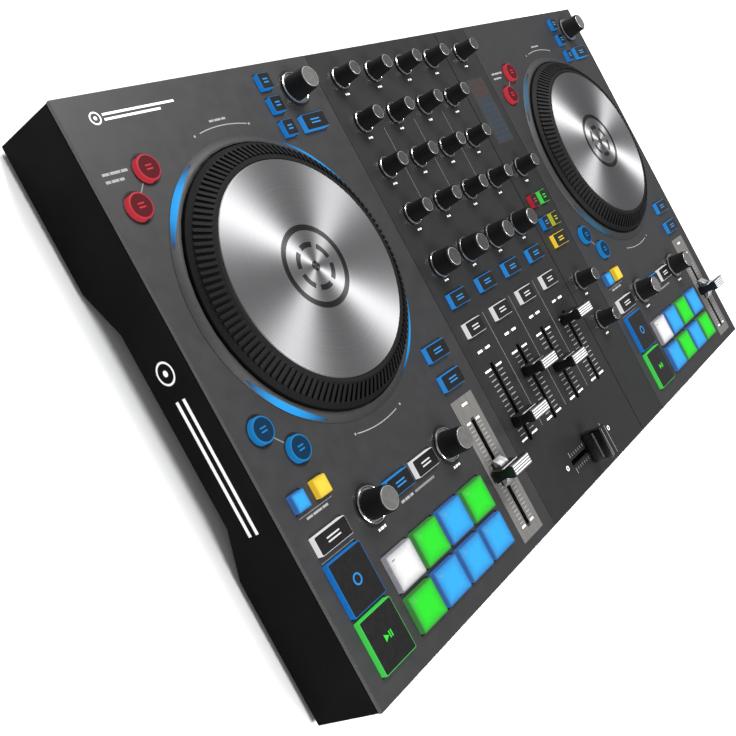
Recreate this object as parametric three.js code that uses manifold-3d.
// A four-channel DJ controller: two decks with jog wheels either side of a mixer, in one flat case.
// Millimetres, +Z up, +Y to the back, +X to the right.
// The origin is the middle of the footprint, on the table.
import * as THREE from "three";
import { mergeVertices } from "three/addons/utils/BufferGeometryUtils.js";
import Module from "manifold-3d";

const wasm = await Module();
wasm.setup();

// ---------------------------------------------------------------- driving dimensions

// Case
const deckWidth = 176;
const channelSectionWidth = 138;
const masterSectionWidth = 38;
const caseDepth = 291;
const caseHeight = 41; // side of the case, without feet
const footHeight = 3;
const caseWall = 3;
const plateThickness = 2;
const bottomThickness = 2.5;
const archRise = 9.5; // how far the underside rises between its front and back blocks
const archFlatDepth = 96;
const archSlopeDepth = 24;

// Clearances
const seat = 0.1; // between pieces that rest on each other
const seam = 0.4; // between two faceplates
const fit = 0.3; // between a piece and the pocket that it drops into
const buttonGap = 0.4; // around a button in its hole
const shaftGap = 0.4; // around a shaft in its hole
const slotGap = 0.6; // around a fader lever in its slot
const lift = 0.6; // between the faceplate and a knob, wheel or cap that moves over it
const past = 1; // how far a cut runs beyond the face that it opens, or one solid runs into another

// Jog wheels
const discRadius = 56;
const discThickness = 1.6;
const discRim = 1.9; // black rim around the metal disc
const wheelRadius = 68.8;
const wheelBandHeight = 3; // smooth band under the ribbed cone
const wheelHeight = 10.9; // over the faceplate
const wheelWall = 3;
const axleRadius = 4;
const axleDrop = 17; // axle below the faceplate
const axleCollar = 0.4; // collar of the wheel's hub over its rim's foot
const hubWall = 4;
const bearingWall = 4;
const bearingInset = 0.5; // bearing's top below the faceplate
const bezelGap = 1.1;
const bezelWidth = 4.6;
const bezelHeight = 2.2;
const bezelEdge = 0.2; // outer edge of the lip over the faceplate
const discBevel = { width: 0.5, height: 0.5, proud: 0.2 };
const jogOffsetX = -0.5; // from the middle of the deck
const jogFromBack = 108;

// Knobs
const shaftRadius = 3;
const eqKnob = { skirt: 6.8, skirtHeight: 2, base: 5.4, top: 4.9, height: 12.8 };
const filterKnob = { skirt: 8, skirtHeight: 1.6, base: 7.2, top: 6.6, height: 12.4 };
const encoderKnob = { skirt: 9.2, skirtHeight: 1.4, base: 6.9, top: 6.5, height: 13.2 };
const skirtSlope = 0.6; // rise of the skirt's top towards the grip

// Faders
const channelTravel = 44;
const tempoTravel = 58;
const leverThickness = 2;
const leverWidth = 4;
const capLength = 19;
const capWidth = 7;
const capWaist = 1.1; // how far the sides of a cap pull in below its top
const capHeight = 15;
const capLift = 1; // between the faceplate and a cap
const capFoot = 2; // straight part of the sides, under the waist
const capBrow = 3; // straight part of the sides, over the waist

// Buttons
const buttonRise = 2.6;
const buttonTravel = 1.2;
const padRise = 2.4;
const pad = { width: 21.2, depth: 18.4, pitchX: 23.4, pitchY: 21.1, columns: 4, rows: 2 };
const transport = { width: 24.4, depth: 26.2, pitchY: 28.3 };
const wideButton = { width: 23, depth: 9.2 };
const midButton = { width: 19, depth: 9 };
const rowButton = { width: 17.5, depth: 8.8 };
const smallButton = { width: 9, depth: 8.8 };
const roundButtonRadius = 6.4;
const flange = 0.8; // lip that keeps a button under the faceplate
const webThickness = 1.5;
const webDrop = 0.5; // below the faceplate
const webStep = 0.5; // between the edges of two webs that cross
const strapWidth = 12; // of the carrier's links between two rows
const carrierClear = 1.2; // between a carrier and a shaft
const stemSide = 4;

// Circuit board and what is soldered to it
const boardDrop = 9.5; // board top below the faceplate's underside
const boardThickness = 1.6;
const boardMargin = 6;
const componentHeight = 5.5;
const potSide = 10;
const switchSide = 6;
const switchHeight = 3.4;
const axleRelief = 1; // between the board and a jog wheel's bearing
const chip = { x: -20, y: 18, width: 20, depth: 20, height: 2 }; // under the board
const sliderWidth = 9;
const sliderOverrun = 14; // slide control's body beyond its travel

// Underside and sockets
const footLength = 440;
const footWidth = 14;
const footFromEdge = 30;
const bossRadius = 4;
const bossFromEdge = 20;
const bossShares = [0.17, 0.5, 0.86]; // of the way from the middle of the case to its end
const socketInset = 0.5; // face of a socket inside the face of its wall
const socketPanel = { width: 190, height: 22, thickness: 2, offsetX: 60 };
const socketPitch = 22;
const socketHousing = { width: 15, depth: 14 };
const phono = { barrel: 4.1, moat: 6, hole: 1.6, depth: 8.5 };
const dataSlot = { width: 9, height: 3.4, depth: 7 };
const powerInlet = { radius: 2.9, pin: 1.2, depth: 9 };
const headphoneSocket = {
  radius: 5,
  hole: 1.75,
  depth: 12,
  backWall: 1.5,
  nut: 6.5,
  offsetX: -40,
  rise: 14,
};
const grooveDepth = 0.5; // of the line between the channels and the master strip

// Sides of the round shapes
const wheelSides = 48;
const bearingSides = 20;
const buttonSides = 16;
const socketSides = 12;
const knobSides = 10;
const pinSides = 8;

// ---------------------------------------------------------------- places worked out from them

const caseWidth = 2 * deckWidth + channelSectionWidth + masterSectionWidth;
const left = -caseWidth / 2;
const back = caseDepth / 2;
const front = -back;
const mixerLeft = left + deckWidth;
const masterLeft = mixerLeft + channelSectionWidth;
const mixerRight = masterLeft + masterSectionWidth;
const topFace = footHeight + caseHeight;
const plateUnder = topFace - plateThickness;
const boardTop = plateUnder - boardDrop;
const componentTop = boardTop + componentHeight;
const switchTop = boardTop + switchHeight;
const shaftEnd = componentTop + fit;
const webTop = plateUnder - webDrop;
const shaftClear = shaftRadius + carrierClear; // from the middle of a shaft to a carrier
const jogY = back - jogFromBack;
const bezelInner = wheelRadius + bezelGap;
const deckCentres = { left: left + deckWidth / 2, right: mixerRight + deckWidth / 2 };

// Deck layout, from the middle of the deck
const tempoX = 66.5;
const tempoY = front + 43.7;
const browseX = 65.5;
const browseY = back - 17;
const browseSideX = 44;
const browseRowY = back - 37;
const browseBackY = back - 10.5;
const browseMiddleY = back - 23.7;
const pads = { x: -34.2, y: front + 20.6 }; // the front left pad
const transportX = -65.8;
const playY = front + 23.7;
const rowY = front + 73.6; // the row of the loop encoders
const pairX = [-72.8, -57.3]; // the two small buttons behind that row
const pairY = front + 94.3;
const keyX = tempoX - 1.5; // the two buttons behind the tempo fader
const keyY = [front + 99.9, front + 117];
const roundButtons = { radius: 90, angles: [129.5, 143, 217, 230.5] }; // around the jog wheel

const deckEncoders = [
  { name: "browse_encoder", x: browseX, y: browseY },
  { name: "move_encoder", x: pads.x, y: rowY },
  { name: "loop_encoder", x: pads.x + 3 * pad.pitchX, y: rowY },
];

const deckButtons = [
  { x: browseSideX, y: browseBackY, ...smallButton },
  { x: browseSideX, y: browseMiddleY, ...smallButton },
  { x: browseSideX, y: browseRowY, ...smallButton },
  { x: browseX, y: browseRowY, ...midButton },
  { x: pairX[0], y: pairY, ...smallButton },
  { x: pairX[1], y: pairY, ...smallButton },
  { x: transportX, y: rowY, ...wideButton },
  { x: pads.x + pad.pitchX, y: rowY, ...midButton },
  { x: pads.x + 2 * pad.pitchX, y: rowY, ...midButton },
  { x: keyX, y: keyY[1], ...midButton },
  { x: keyX, y: keyY[0], ...midButton },
];

const padCentres = [];
for (let row = 0; row < pad.rows; row++)
  for (let column = 0; column < pad.columns; column++)
    padCentres.push({
      x: pads.x + column * pad.pitchX,
      y: pads.y + row * pad.pitchY,
      width: pad.width,
      depth: pad.depth,
    });

const transportButtons = [
  { name: "play_button", x: transportX, y: playY, width: transport.width, depth: transport.depth },
  {
    name: "cue_button",
    x: transportX,
    y: playY + transport.pitchY,
    width: transport.width,
    depth: transport.depth,
  },
];

// Mixer layout
const channelInset = 19;
const channelPitch = 33;
const channelX = [0, 1, 2, 3].map((i) => mixerLeft + channelInset + i * channelPitch);
const masterX = masterLeft + 18.4;
const gainY = back - 17;
const highY = back - 44.2;
const midY = back - 73;
const lowY = back - 101.9;
const filterY = back - 134;
const effectRowY = back - 155.5;
const cueRowY = back - 174.2;
const channelFaderY = front + 70;
const crossfaderY = front + 18;
const crossfaderX = (channelX[0] + channelX[3]) / 2;
const faderRest = [-10.5, 8.5, -1, 20]; // from the middle of the travel

const mixerKnobs = channelX.flatMap((x, i) => [
  { name: `channel_${i + 1}_gain_knob`, x, y: gainY, shape: eqKnob },
  { name: `channel_${i + 1}_high_knob`, x, y: highY, shape: eqKnob },
  { name: `channel_${i + 1}_mid_knob`, x, y: midY, shape: eqKnob },
  { name: `channel_${i + 1}_low_knob`, x, y: lowY, shape: eqKnob },
  { name: `channel_${i + 1}_filter_knob`, x, y: filterY, shape: filterKnob },
]);
mixerKnobs.push(
  { name: "main_level_knob", x: masterX, y: gainY, shape: eqKnob },
  { name: "booth_level_knob", x: masterX, y: lowY, shape: eqKnob },
  { name: "cue_mix_knob", x: masterX, y: front + 104.5, shape: eqKnob },
  { name: "headphone_level_knob", x: masterX, y: front + 75, shape: eqKnob },
);

const effectY = back - 141.9;
const effectPitchX = 14;
const effectPitchY = 16.4;
const mixerButtons = [
  ...channelX.map((x) => ({ x, y: effectRowY, ...rowButton })),
  { x: masterX, y: effectRowY, ...rowButton },
  ...channelX.map((x) => ({ x, y: cueRowY, ...rowButton })),
];
for (const x of [masterX - effectPitchX / 2, masterX + effectPitchX / 2])
  for (const row of [0, 1])
    mixerButtons.push({ x, y: effectY + row * effectPitchY, ...smallButton });

const mixerFaders = channelX.map((x, i) => ({
  name: `channel_${i + 1}_fader`,
  x,
  y: channelFaderY,
  travel: channelTravel,
  rest: faderRest[i],
  turn: 0,
}));
mixerFaders.push({
  name: "crossfader",
  x: crossfaderX,
  y: crossfaderY,
  travel: channelTravel,
  rest: 0,
  turn: Math.PI / 2,
});
const tempoFader = {
  name: "tempo_fader",
  x: tempoX,
  y: tempoY,
  travel: tempoTravel,
  rest: 0,
  turn: 0,
};

// ---------------------------------------------------------------- solids

function solid(geometry) {
  geometry.deleteAttribute("normal");
  geometry.deleteAttribute("uv");
  const merged = mergeVertices(geometry, 1e-4);
  return new wasm.Manifold(
    new wasm.Mesh({
      numProp: 3,
      vertProperties: merged.attributes.position.array,
      triVerts: new Uint32Array(merged.index.array),
    }),
  );
}

const joined = (pieces) => pieces.reduce((whole, piece) => whole.add(piece));
const cut = (from, pieces) => pieces.reduce((rest, piece) => rest.subtract(piece), from);

function block(x0, x1, y0, y1, z0, z1) {
  const geometry = new THREE.BoxGeometry(x1 - x0, y1 - y0, z1 - z0);
  return solid(geometry.translate((x0 + x1) / 2, (y0 + y1) / 2, (z0 + z1) / 2));
}

// A box around a centre, grown by a margin on each side.
function pillar({ x, y, width, depth }, z0, z1, margin = 0) {
  const w = width / 2 + margin;
  const d = depth / 2 + margin;
  return block(x - w, x + w, y - d, y + d, z0, z1);
}

function rod(x, y, radius, z0, z1, sides) {
  const geometry = new THREE.CylinderGeometry(radius, radius, z1 - z0, sides);
  return solid(geometry.rotateX(Math.PI / 2).translate(x, y, (z0 + z1) / 2));
}

function rodAlongY(x, z, radius, y0, y1, sides) {
  const geometry = new THREE.CylinderGeometry(radius, radius, y1 - y0, sides);
  return solid(geometry.translate(x, (y0 + y1) / 2, z));
}

// Turns a [radius, height] outline, from its foot on the axis to its top on the axis, around Z.
function turned(outline, sides) {
  const points = outline.map(([r, z]) => new THREE.Vector2(r, z));
  return solid(new THREE.LatheGeometry(points, sides).rotateX(Math.PI / 2));
}

// Extrudes a closed [y, z] outline from x0 to x1.
function profile(outline, x0, x1) {
  const shape = new THREE.Shape(outline.map(([y, z]) => new THREE.Vector2(y, z)));
  const geometry = new THREE.ExtrudeGeometry(shape, { depth: x1 - x0, bevelEnabled: false });
  const basis = new THREE.Matrix4().makeBasis(
    new THREE.Vector3(0, 1, 0),
    new THREE.Vector3(0, 0, 1),
    new THREE.Vector3(1, 0, 0),
  );
  return solid(geometry.applyMatrix4(basis).translate(x0, 0, 0));
}

function geometryOf(made) {
  const mesh = made.getMesh();
  const positions = new Float32Array(mesh.numVert * 3);
  for (let i = 0; i < mesh.numVert; i++)
    positions.set(mesh.vertProperties.subarray(i * mesh.numProp, i * mesh.numProp + 3), i * 3);
  const geometry = new THREE.BufferGeometry();
  geometry.setAttribute("position", new THREE.BufferAttribute(positions, 3));
  geometry.setIndex(new THREE.BufferAttribute(mesh.triVerts, 1));
  geometry.computeVertexNormals();
  return geometry;
}

// ---------------------------------------------------------------- finishes

const finish = (color, roughness, metalness = 0) =>
  new THREE.MeshStandardMaterial({ color, roughness, metalness });
const finishes = {
  faceplate: finish(0x3a3b3d, 0.55),
  shell: finish(0x1b1b1c, 0.6),
  board: finish(0x1f5a38, 0.5),
  rubber: finish(0x111112, 0.9),
  wheel: finish(0x17181a, 0.55),
  disc: finish(0xb9babc, 0.3, 1),
  knob: finish(0x121214, 0.5),
  fader: finish(0x1a1a1b, 0.4),
  pads: finish(0x5ab0ff, 0.5),
  buttons: finish(0x2a6fb0, 0.4),
  sockets: finish(0x26282a, 0.4, 0.6),
};

function piece(name, made, material, x = 0, y = 0, z = 0) {
  const mesh = new THREE.Mesh(geometryOf(made), material);
  mesh.name = name;
  mesh.position.set(x, y, z);
  return mesh;
}

// ---------------------------------------------------------------- case

// The case's side outline: a front and a back block with a raised arch between them.
function sideOutline(inset, bottom, top) {
  const end = back - inset;
  const archFoot = archFlatDepth / 2 + archSlopeDepth;
  const archTop = archFlatDepth / 2;
  return [
    [-end, bottom],
    [-archFoot, bottom],
    [-archTop, bottom + archRise],
    [archTop, bottom + archRise],
    [archFoot, bottom],
    [end, bottom],
    ...top,
  ];
}

const socketPanelZ = boardTop - boardThickness - fit - socketHousing.width / 2;
const headphoneZ = footHeight + headphoneSocket.rise;

function caseFrame() {
  const top = plateUnder - seat;
  const outline = sideOutline(0, footHeight, [
    [back, top],
    [front, top],
  ]);
  const inside = block(
    left + caseWall,
    -left - caseWall,
    front + caseWall,
    back - caseWall,
    -past,
    topFace,
  );
  const window = block(
    socketPanel.offsetX - socketPanel.width / 2,
    socketPanel.offsetX + socketPanel.width / 2,
    back - 2 * caseWall,
    back + past,
    socketPanelZ - socketPanel.height / 2,
    socketPanelZ + socketPanel.height / 2,
  );
  const { offsetX, radius } = headphoneSocket;
  const jackHole = rodAlongY(
    offsetX,
    headphoneZ,
    radius + fit,
    front - past,
    front + 2 * caseWall,
    buttonSides,
  );
  return cut(profile(outline, left, -left), [inside, window, jackHole]);
}

const bossPlaces = [-1, 1].flatMap((side) =>
  bossShares.map((share) => [(share * caseWidth) / 2, side * (back - bossFromEdge)]),
);

function bottomCover() {
  const inset = caseWall + fit;
  const archFoot = archFlatDepth / 2 + archSlopeDepth;
  const archTop = archFlatDepth / 2;
  const inner = footHeight + bottomThickness;
  const outline = sideOutline(inset, footHeight, [
    [back - inset, inner],
    [archFoot, inner],
    [archTop, inner + archRise],
    [-archTop, inner + archRise],
    [-archFoot, inner],
    [front + inset, inner],
  ]);
  const sheet = profile(outline, left + inset, -left - inset);
  const bossTop = boardTop - boardThickness - seat;
  const bosses = bossPlaces.flatMap(([x, y]) =>
    [-x, x].map((at) => rod(at, y, bossRadius, inner - past, bossTop, knobSides)),
  );
  return joined([sheet, ...bosses]);
}

function footStrip() {
  const foot = { x: 0, y: 0, width: footLength, depth: footWidth };
  return pillar(foot, 0, footHeight - seat);
}

// One metal plate with a small data socket, a power inlet and then pairs of phono sockets.
function socketPanelSolid() {
  const { width, height, thickness, offsetX } = socketPanel;
  const outer = back - socketInset;
  const plate = block(
    offsetX - width / 2 + fit,
    offsetX + width / 2 - fit,
    outer - thickness,
    outer,
    socketPanelZ - height / 2 + fit,
    socketPanelZ + height / 2 - fit,
  );
  const half = socketHousing.width / 2;
  const housing = (x) =>
    block(
      x - half,
      x + half,
      outer - socketHousing.depth,
      outer - thickness / 2,
      socketPanelZ - half,
      socketPanelZ + half,
    );
  const places = socketPlaces();
  const [dataX, powerX, ...phonoX] = places;
  const hole = (x, radius, depth, sides) =>
    rodAlongY(x, socketPanelZ, radius, outer - depth, outer + past, sides);
  const phonoMoat = (x) =>
    hole(x, phono.moat, phono.depth, socketSides).subtract(
      hole(x, phono.barrel, phono.depth + past, socketSides),
    );
  const holes = [
    block(
      dataX - dataSlot.width / 2,
      dataX + dataSlot.width / 2,
      outer - dataSlot.depth,
      outer + past,
      socketPanelZ - dataSlot.height / 2,
      socketPanelZ + dataSlot.height / 2,
    ),
    hole(powerX, powerInlet.radius, powerInlet.depth, socketSides).subtract(
      hole(powerX, powerInlet.pin, powerInlet.depth + past, pinSides),
    ),
    ...phonoX.map(phonoMoat),
    ...phonoX.map((x) => hole(x, phono.hole, phono.depth, pinSides)),
  ];
  return cut(joined([plate, ...places.map(housing)]), holes);
}

function socketPlaces() {
  const count = Math.floor(socketPanel.width / socketPitch);
  const first = socketPanel.offsetX - ((count - 1) * socketPitch) / 2;
  return Array.from({ length: count }, (_, i) => first + i * socketPitch);
}

function headphoneJack() {
  const { radius, hole, depth, backWall, nut, offsetX } = headphoneSocket;
  const end = front + depth;
  const part = (size, y0, y1, sides) => rodAlongY(offsetX, headphoneZ, size, y0, y1, sides);
  const barrel = part(radius, front + socketInset, end, buttonSides);
  const body = part(nut, front + caseWall + fit, end, buttonSides);
  return joined([barrel, body]).subtract(part(hole, front - past, end - backWall, knobSides));
}

// ---------------------------------------------------------------- faceplates

function slotCut({ x, y, travel, turn }) {
  const across = leverThickness / 2 + slotGap;
  const along = (travel + leverWidth) / 2 + slotGap;
  const [w, d] = turn ? [along, across] : [across, along];
  return block(x - w, x + w, y - d, y + d, plateUnder - past, topFace + past);
}

const throughPlate = (place) => pillar(place, plateUnder - past, topFace + past, buttonGap);
const shaftHole = ({ x, y }) =>
  rod(x, y, shaftRadius + shaftGap, plateUnder - past, topFace + past, knobSides);

const roundPlaces = roundButtons.angles.map((degrees) => {
  const angle = THREE.MathUtils.degToRad(degrees);
  return {
    x: jogOffsetX + roundButtons.radius * Math.cos(angle),
    y: jogY + roundButtons.radius * Math.sin(angle),
  };
});

// The lip around a jog wheel: level inside, sloping down to the faceplate outside.
function bezel() {
  const outer = bezelInner + bezelWidth;
  const foot = topFace - plateThickness / 2;
  const ring = turned(
    [
      [0, foot],
      [outer, foot],
      [outer, topFace + bezelEdge],
      [bezelInner + bezelWidth / 4, topFace + bezelHeight],
      [0, topFace + bezelHeight],
    ],
    wheelSides,
  );
  const well = rod(0, 0, bezelInner, topFace, topFace + 2 * bezelHeight, wheelSides);
  return ring.subtract(well).translate([jogOffsetX, jogY, 0]);
}

function deckPlate(x0, x1) {
  const sheet = block(x0, x1, front, back, plateUnder, topFace);
  const bearingRadius = axleRadius + shaftGap + bearingWall;
  const bearingFoot = plateUnder - axleDrop;
  const bearing = rod(
    jogOffsetX,
    jogY,
    bearingRadius,
    bearingFoot,
    topFace - bearingInset,
    bearingSides,
  );
  const holes = [
    ...deckButtons.map(throughPlate),
    ...padCentres.map(throughPlate),
    ...transportButtons.map(throughPlate),
    ...deckEncoders.map(shaftHole),
    ...roundPlaces.map(({ x, y }) =>
      rod(x, y, roundButtonRadius + buttonGap, plateUnder - past, topFace + past, buttonSides),
    ),
    slotCut(tempoFader),
    rod(jogOffsetX, jogY, axleRadius + shaftGap, bearingFoot - past, topFace + past, bearingSides),
  ];
  return cut(joined([sheet, bearing, bezel()]), holes);
}

function mixerPlate() {
  const sheet = block(mixerLeft + seam / 2, mixerRight - seam / 2, front, back, plateUnder, topFace);
  const groove = block(
    masterLeft - seam,
    masterLeft + seam,
    front - past,
    back + past,
    topFace - grooveDepth,
    topFace + past,
  );
  return cut(sheet, [
    ...mixerKnobs.map(shaftHole),
    ...mixerButtons.map(throughPlate),
    ...mixerFaders.map(slotCut),
    groove,
  ]);
}

// ---------------------------------------------------------------- circuit board

// One board with everything soldered to it: rotary and slide controls, push switches and chips.
function circuitBoard() {
  const x1 = -left - caseWall - boardMargin;
  const y1 = back - caseWall - boardMargin;
  const sheet = block(-x1, x1, -y1, y1, boardTop - boardThickness, boardTop);
  const inside = boardTop - boardThickness / 2;
  const parts = [];
  const pot = (x, y) =>
    parts.push(pillar({ x, y, width: potSide, depth: potSide }, inside, componentTop));
  const push = (x, y) =>
    parts.push(pillar({ x, y, width: switchSide, depth: switchSide }, inside, switchTop));
  const slider = ({ x, y, travel, turn }) => {
    const long = travel + sliderOverrun;
    const [width, depth] = turn ? [long, sliderWidth] : [sliderWidth, long];
    parts.push(pillar({ x, y, width, depth }, inside, componentTop));
  };
  mixerKnobs.forEach(({ x, y }) => pot(x, y));
  mixerFaders.forEach(slider);
  const holes = [];
  for (const centre of Object.values(deckCentres)) {
    deckEncoders.forEach(({ x, y }) => pot(centre + x, y));
    transportButtons.forEach(({ x, y }) => push(centre + x, y));
    slider({ ...tempoFader, x: centre + tempoX });
    const holeRadius = axleRadius + shaftGap + bearingWall + axleRelief;
    const holeFoot = boardTop - boardThickness - past;
    holes.push(rod(centre + jogOffsetX, jogY, holeRadius, holeFoot, boardTop + past, bearingSides));
  }
  parts.push(pillar(chip, boardTop - boardThickness - chip.height, inside));
  return cut(joined([sheet, ...parts]), holes);
}

// ---------------------------------------------------------------- jog wheels

// A hollow black wheel on its own axle, with a ribbed cone and a recess for the metal disc.
function jogWheel() {
  const base = topFace + lift;
  const top = topFace + wheelHeight;
  const seatZ = top - discThickness;
  const rim = discRadius + fit + discRim;
  const inner = wheelRadius - wheelWall;
  const roof = seatZ - wheelWall;
  const axleFoot = plateUnder - axleDrop + past;
  const hub = 2 * axleRadius + hubWall;
  return turned(
    [
      [0, axleFoot],
      [axleRadius, axleFoot],
      [axleRadius, base + axleCollar],
      [hub, base + axleCollar],
      [hub, roof],
      [rim - wheelWall, roof],
      [inner, base + wheelBandHeight - past],
      [inner, base],
      [wheelRadius, base],
      [wheelRadius, base + wheelBandHeight],
      [rim, top],
      [discRadius + fit, top],
      [discRadius + fit, seatZ],
      [0, seatZ],
    ],
    wheelSides,
  );
}

function jogDisc() {
  const bottom = topFace + wheelHeight - discThickness + seat;
  const top = bottom + discThickness + discBevel.proud;
  return turned(
    [
      [0, bottom],
      [discRadius, bottom],
      [discRadius, top - discBevel.height],
      [discRadius - discBevel.width, top],
      [0, top],
    ],
    wheelSides,
  );
}

// ---------------------------------------------------------------- knobs, faders and buttons

// A knob with its shaft, which runs down through the faceplate to the control on the board.
function knob({ skirt, skirtHeight, base, top, height }) {
  const foot = topFace + lift;
  return turned(
    [
      [0, shaftEnd],
      [shaftRadius, shaftEnd],
      [shaftRadius, foot],
      [skirt, foot],
      [skirt, foot + skirtHeight],
      [base, foot + skirtHeight + skirtSlope],
      [top, topFace + height],
      [0, topFace + height],
    ],
    knobSides,
  );
}

// A fader cap on its lever. The cap is long across its travel, and its sides pull in under the top.
function faderCap() {
  const foot = topFace + capLift;
  const top = topFace + capHeight;
  const half = capWidth / 2;
  const waist = half - capWaist;
  const middle = (foot + top) / 2;
  const outline = [
    [-half, foot],
    [half, foot],
    [half, foot + capFoot],
    [waist, middle],
    [half, top - capBrow],
    [half, top],
    [-half, top],
    [-half, top - capBrow],
    [-waist, middle],
    [-half, foot + capFoot],
  ];
  const cap = profile(outline, -capLength / 2, capLength / 2);
  const lever = block(
    -leverThickness / 2,
    leverThickness / 2,
    -leverWidth / 2,
    leverWidth / 2,
    shaftEnd,
    foot + past,
  );
  return cap.add(lever);
}

const buttonCap = (place, rise) => pillar(place, webTop - webThickness / 2, topFace + rise);
const webUnder = (x0, x1, y0, y1) => block(x0, x1, y0, y1, webTop - webThickness, webTop);

// A large transport button: cap, retaining flange and the stem that works its switch.
function transportButton({ width, depth }) {
  const place = { x: 0, y: 0, width, depth };
  const cap = buttonCap(place, buttonRise);
  const lip = pillar(place, webTop - webThickness, webTop, flange);
  const stemPlace = { x: 0, y: 0, width: stemSide, depth: stemSide };
  const stem = pillar(stemPlace, switchTop + buttonTravel + fit, webTop - past);
  return joined([cap, lip, stem]);
}

function padMat() {
  const width = (pad.columns - 1) * pad.pitchX + pad.width;
  const depth = (pad.rows - 1) * pad.pitchY + pad.depth;
  const web = webUnder(
    pads.x - pad.width / 2 - flange,
    pads.x - pad.width / 2 + width + flange,
    pads.y - pad.depth / 2 - flange,
    pads.y - pad.depth / 2 + depth + flange,
  );
  return joined([web, ...padCentres.map((place) => buttonCap(place, padRise))]);
}

// All the small buttons of a deck on one carrier, which runs round the deck clear of every shaft.
function deckButtonMat() {
  const caps = deckButtons.map((place) => buttonCap(place, buttonRise));
  const rounds = roundPlaces.map(({ x, y }) =>
    rod(x, y, roundButtonRadius, webTop - webThickness / 2, topFace + buttonRise, buttonSides),
  );
  const roundX = roundPlaces.map((place) => place.x);
  const leftEdge = Math.min(...roundX) - roundButtonRadius - flange;
  const leftInner = Math.max(...roundX) + roundButtonRadius;
  const rowFloor = rowY + shaftClear;
  const rowTop = pairY - smallButton.depth / 2 - webStep;
  const rowUnder = rowY - wideButton.depth / 2 - flange;
  const rowLeft = pads.x + shaftClear;
  const rowRight = pads.x + (pad.columns - 1) * pad.pitchX - shaftClear;
  const cornerLeft = browseSideX - smallButton.width / 2 - flange;
  const cornerRight = browseSideX + smallButton.width / 2 + flange;
  const cornerHalf = smallButton.depth / 2 + flange;
  const rightEdge = tempoX + midButton.width / 2;
  const strapLeft = keyX - midButton.width / 2 - flange;
  const webs = [
    webUnder(leftEdge, leftInner, rowUnder, roundPlaces[0].y + roundButtonRadius + flange),
    webUnder(leftEdge + webStep, rightEdge, rowFloor, rowTop),
    webUnder(rowLeft, rowRight, rowUnder + webStep, rowTop - webStep),
    webUnder(strapLeft, rightEdge - webStep, rowFloor + webStep, browseRowY + cornerHalf),
    webUnder(cornerLeft, browseX, browseRowY - cornerHalf, browseRowY + cornerHalf - webStep),
    webUnder(cornerLeft + webStep, cornerRight, browseRowY, browseBackY + cornerHalf),
  ];
  const bearingRadius = axleRadius + shaftGap + bearingWall + carrierClear;
  const under = webTop - webThickness - past;
  const axle = rod(jogOffsetX, jogY, bearingRadius, under, webTop + past, buttonSides);
  return joined([...webs, ...caps, ...rounds]).subtract(axle);
}

function mixerButtonMat() {
  const caps = mixerButtons.map((place) => buttonCap(place, buttonRise));
  const half = rowButton.depth / 2 + flange;
  const first = channelX[0] - rowButton.width / 2 - flange;
  const last = channelX[3] + rowButton.width / 2 + flange;
  const effectHalf = (effectPitchX + smallButton.width) / 2 + flange;
  const effectTop = effectY + effectPitchY + smallButton.depth / 2 + flange;
  const webs = [
    webUnder(first, masterX + rowButton.width / 2 + flange, effectRowY - half, effectRowY + half),
    webUnder(first, last, cueRowY - half, cueRowY + half),
    webUnder(first + webStep, first + strapWidth, cueRowY, effectRowY),
    webUnder(last - strapWidth, last - webStep, cueRowY, effectRowY),
    webUnder(masterX - effectHalf, masterX + effectHalf, effectRowY + webStep, effectTop),
  ];
  return joined([...webs, ...caps]);
}

// ---------------------------------------------------------------- assembly

const controller = new THREE.Group();

controller.add(
  piece("case_frame", caseFrame(), finishes.shell),
  piece("bottom_cover", bottomCover(), finishes.shell),
  piece("front_foot_strip", footStrip(), finishes.rubber, 0, front + footFromEdge),
  piece("rear_foot_strip", footStrip(), finishes.rubber, 0, back - footFromEdge),
  piece("rear_socket_panel", socketPanelSolid(), finishes.sockets),
  piece("headphone_socket", headphoneJack(), finishes.sockets),
  piece("main_circuit_board", circuitBoard(), finishes.board),
  piece("mixer_plate", mixerPlate(), finishes.faceplate),
  piece("mixer_button_mat", mixerButtonMat(), finishes.buttons),
);
for (const { name, x, y, shape } of mixerKnobs)
  controller.add(piece(name, knob(shape), finishes.knob, x, y));

function addFader(group, prefix, { name, x, y, rest, turn }) {
  const [restX, restY] = turn ? [x + rest, y] : [x, y + rest];
  const cap = piece(prefix + name, faderCap(), finishes.fader, restX, restY);
  cap.rotation.z = turn;
  group.add(cap);
}
for (const fader of mixerFaders) addFader(controller, "", fader);

for (const [side, centre] of Object.entries(deckCentres)) {
  const deck = new THREE.Group();
  deck.position.x = centre;
  const x0 = side === "left" ? -deckWidth / 2 : -deckWidth / 2 + seam / 2;
  const x1 = side === "left" ? deckWidth / 2 - seam / 2 : deckWidth / 2;
  deck.add(
    piece(`${side}_deck_plate`, deckPlate(x0, x1), finishes.faceplate),
    piece(`${side}_jog_wheel`, jogWheel(), finishes.wheel, jogOffsetX, jogY),
    piece(`${side}_jog_disc`, jogDisc(), finishes.disc, jogOffsetX, jogY),
    piece(`${side}_pads`, padMat(), finishes.pads),
    piece(`${side}_button_mat`, deckButtonMat(), finishes.buttons),
  );
  for (const { name, x, y } of deckEncoders)
    deck.add(piece(`${side}_${name}`, knob(encoderKnob), finishes.knob, x, y));
  for (const button of transportButtons) {
    const cap = transportButton(button);
    deck.add(piece(`${side}_${button.name}`, cap, finishes.buttons, button.x, button.y));
  }
  addFader(deck, `${side}_`, tempoFader);
  controller.add(deck);
}

export default controller;
